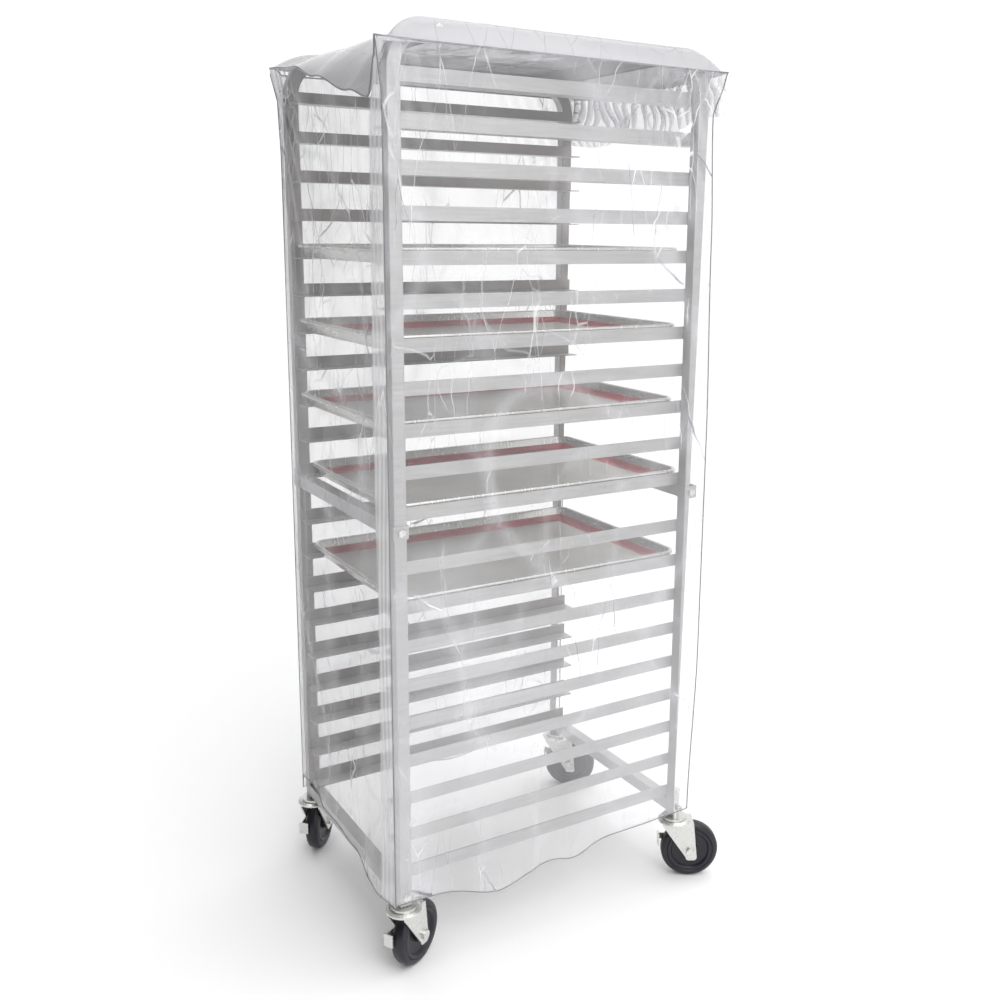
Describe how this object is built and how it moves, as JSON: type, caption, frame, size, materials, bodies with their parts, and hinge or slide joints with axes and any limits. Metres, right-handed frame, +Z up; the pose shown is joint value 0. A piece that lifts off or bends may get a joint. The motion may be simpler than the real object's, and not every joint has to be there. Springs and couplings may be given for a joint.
{
  "type": "sheet pan rack",
  "caption": "Tall open aluminium end-load sheet pan rack on swivel casters, with L-shaped runners, lined baking pans and a loose clear vinyl cover with a gathered rear door.",
  "frame": {"origin": "on the floor, below the middle of the overall box in X and Y, casters included; the rack's own middle is 11.6 mm towards +X and 25.3 mm towards -Y of it", "axes": "+Z up; Y runs along the runners, with +Y towards the open rear end where the pans slide out; X across the width, with +X the right-hand side seen from the front"},
  "size_m": [0.6322, 0.793, 1.7602],
  "materials": {
    "aluminium_frame": "brushed, unpainted",
    "pan_aluminium": "pressed sheet, satin",
    "zinc_steel": "zinc-plated",
    "wheel_rubber": "moulded, dark violet black",
    "red_silicone": "matte silicone with a woven core",
    "clear_vinyl": "clear, glossy, creased",
    "white_vinyl": "whitish translucent, satin"
  },
  "bodies": {
    "rack": {"ladder_left": "aluminium_frame", "ladder_right": "aluminium_frame", "crossbar_top_front": "aluminium_frame", "crossbar_top_rear": "aluminium_frame", "crossbar_middle_front": "aluminium_frame", "crossbar_middle_rear": "aluminium_frame", "crossbar_bottom_front": "aluminium_frame", "crossbar_bottom_rear": "aluminium_frame", "bolt_top_front_left": "zinc_steel", "bolt_top_front_right": "zinc_steel", "bolt_top_rear_left": "zinc_steel", "bolt_top_rear_right": "zinc_steel", "bolt_middle_front_left": "zinc_steel", "bolt_middle_front_right": "zinc_steel", "bolt_middle_rear_left": "zinc_steel", "bolt_middle_rear_right": "zinc_steel", "bolt_bottom_front_left": "zinc_steel", "bolt_bottom_front_right": "zinc_steel", "bolt_bottom_rear_left": "zinc_steel", "bolt_bottom_rear_right": "zinc_steel", "saddle_clip_front_left": "aluminium_frame", "saddle_clip_front_right": "aluminium_frame", "saddle_clip_rear_left": "aluminium_frame", "saddle_clip_rear_right": "aluminium_frame", "caster_stem_front_right": "zinc_steel", "caster_stem_rear_right": "zinc_steel", "caster_stem_rear_left": "zinc_steel", "caster_stem_front_left": "zinc_steel"},
    "caster_front_right": {"caster_fork_front_right": "zinc_steel", "caster_axle_front_right": "zinc_steel"},
    "wheel_front_right": {"caster_wheel_front_right": "wheel_rubber"},
    "brake_front_right": {"caster_brake_front_right": "zinc_steel"},
    "caster_rear_right": {"caster_fork_rear_right": "zinc_steel", "caster_axle_rear_right": "zinc_steel"},
    "wheel_rear_right": {"caster_wheel_rear_right": "wheel_rubber"},
    "brake_rear_right": {"caster_brake_rear_right": "zinc_steel"},
    "caster_rear_left": {"caster_fork_rear_left": "zinc_steel", "caster_axle_rear_left": "zinc_steel"},
    "wheel_rear_left": {"caster_wheel_rear_left": "wheel_rubber"},
    "brake_rear_left": {"caster_brake_rear_left": "zinc_steel"},
    "caster_front_left": {"caster_fork_front_left": "zinc_steel", "caster_axle_front_left": "zinc_steel"},
    "wheel_front_left": {"caster_wheel_front_left": "wheel_rubber"},
    "brake_front_left": {"caster_brake_front_left": "zinc_steel"},
    "pan_5": {"sheet_pan_5": "pan_aluminium"},
    "pan_7": {"sheet_pan_7": "pan_aluminium", "baking_mat_7": "red_silicone"},
    "pan_9": {"sheet_pan_9": "pan_aluminium", "baking_mat_9": "red_silicone"},
    "pan_11": {"sheet_pan_11": "pan_aluminium", "baking_mat_11": "red_silicone"},
    "pan_13": {"sheet_pan_13": "pan_aluminium", "baking_mat_13": "red_silicone"},
    "cover": {"cover_top": "white_vinyl", "cover_front": "clear_vinyl", "cover_side_left": "clear_vinyl", "cover_side_right": "clear_vinyl", "cover_door_gathered": "clear_vinyl"}
  },
  "joints": [
    {"name": "swivel_front_right", "type": "hinge", "parent": "rack", "child": "caster_front_right", "pos_m": [0.25608, -0.3555, 0.132], "axis": [0, 0, 1], "continuous": true},
    {"name": "spin_front_right", "type": "hinge", "parent": "caster_front_right", "child": "wheel_front_right", "pos_m": [0.23808, -0.32432, 0.0635], "axis": [0.866, 0.5, 0], "continuous": true},
    {"name": "brake_front_right", "type": "hinge", "parent": "caster_front_right", "child": "brake_front_right", "pos_m": [0.23808, -0.32432, 0.0635], "axis": [0.866, 0.5, 0], "range_deg": [0, 15]},
    {"name": "swivel_rear_right", "type": "hinge", "parent": "rack", "child": "caster_rear_right", "pos_m": [0.25608, 0.3049, 0.132], "axis": [0, 0, 1], "continuous": true},
    {"name": "spin_rear_right", "type": "hinge", "parent": "caster_rear_right", "child": "wheel_rear_right", "pos_m": [0.27408, 0.33608, 0.0635], "axis": [0.866, -0.5, 0], "continuous": true},
    {"name": "brake_rear_right", "type": "hinge", "parent": "caster_rear_right", "child": "brake_rear_right", "pos_m": [0.27408, 0.33608, 0.0635], "axis": [0.866, -0.5, 0], "range_deg": [0, 15]},
    {"name": "swivel_rear_left", "type": "hinge", "parent": "rack", "child": "caster_rear_left", "pos_m": [-0.23288, 0.3049, 0.132], "axis": [0, 0, 1], "continuous": true},
    {"name": "spin_rear_left", "type": "hinge", "parent": "caster_rear_left", "child": "wheel_rear_left", "pos_m": [-0.20973, 0.33248, 0.0635], "axis": [0.766, -0.6428, 0], "continuous": true},
    {"name": "brake_rear_left", "type": "hinge", "parent": "caster_rear_left", "child": "brake_rear_left", "pos_m": [-0.20973, 0.33248, 0.0635], "axis": [0.766, -0.6428, 0], "range_deg": [0, 15]},
    {"name": "swivel_front_left", "type": "hinge", "parent": "rack", "child": "caster_front_left", "pos_m": [-0.23288, -0.3555, 0.132], "axis": [0, 0, 1], "continuous": true},
    {"name": "spin_front_left", "type": "hinge", "parent": "caster_front_left", "child": "wheel_front_left", "pos_m": [-0.26045, -0.33236, 0.0635], "axis": [0.6428, 0.766, 0], "continuous": true},
    {"name": "brake_front_left", "type": "hinge", "parent": "caster_front_left", "child": "brake_front_left", "pos_m": [-0.26045, -0.33236, 0.0635], "axis": [0.6428, 0.766, 0], "range_deg": [0, 15]},
    {"name": "pan_5_slide", "type": "slide", "parent": "rack", "child": "pan_5", "axis": [0, 1, 0], "range_m": [0, 0.6]},
    {"name": "pan_7_slide", "type": "slide", "parent": "rack", "child": "pan_7", "axis": [0, 1, 0], "range_m": [0, 0.6]},
    {"name": "pan_9_slide", "type": "slide", "parent": "rack", "child": "pan_9", "axis": [0, 1, 0], "range_m": [0, 0.6]},
    {"name": "pan_11_slide", "type": "slide", "parent": "rack", "child": "pan_11", "axis": [0, 1, 0], "range_m": [0, 0.6]},
    {"name": "pan_13_slide", "type": "slide", "parent": "rack", "child": "pan_13", "axis": [0, 1, 0], "range_m": [0, 0.6]},
    {"name": "cover_lift", "type": "slide", "parent": "rack", "child": "cover", "axis": [0, 0, 1], "range_m": [0, 1.65]}
  ]
}
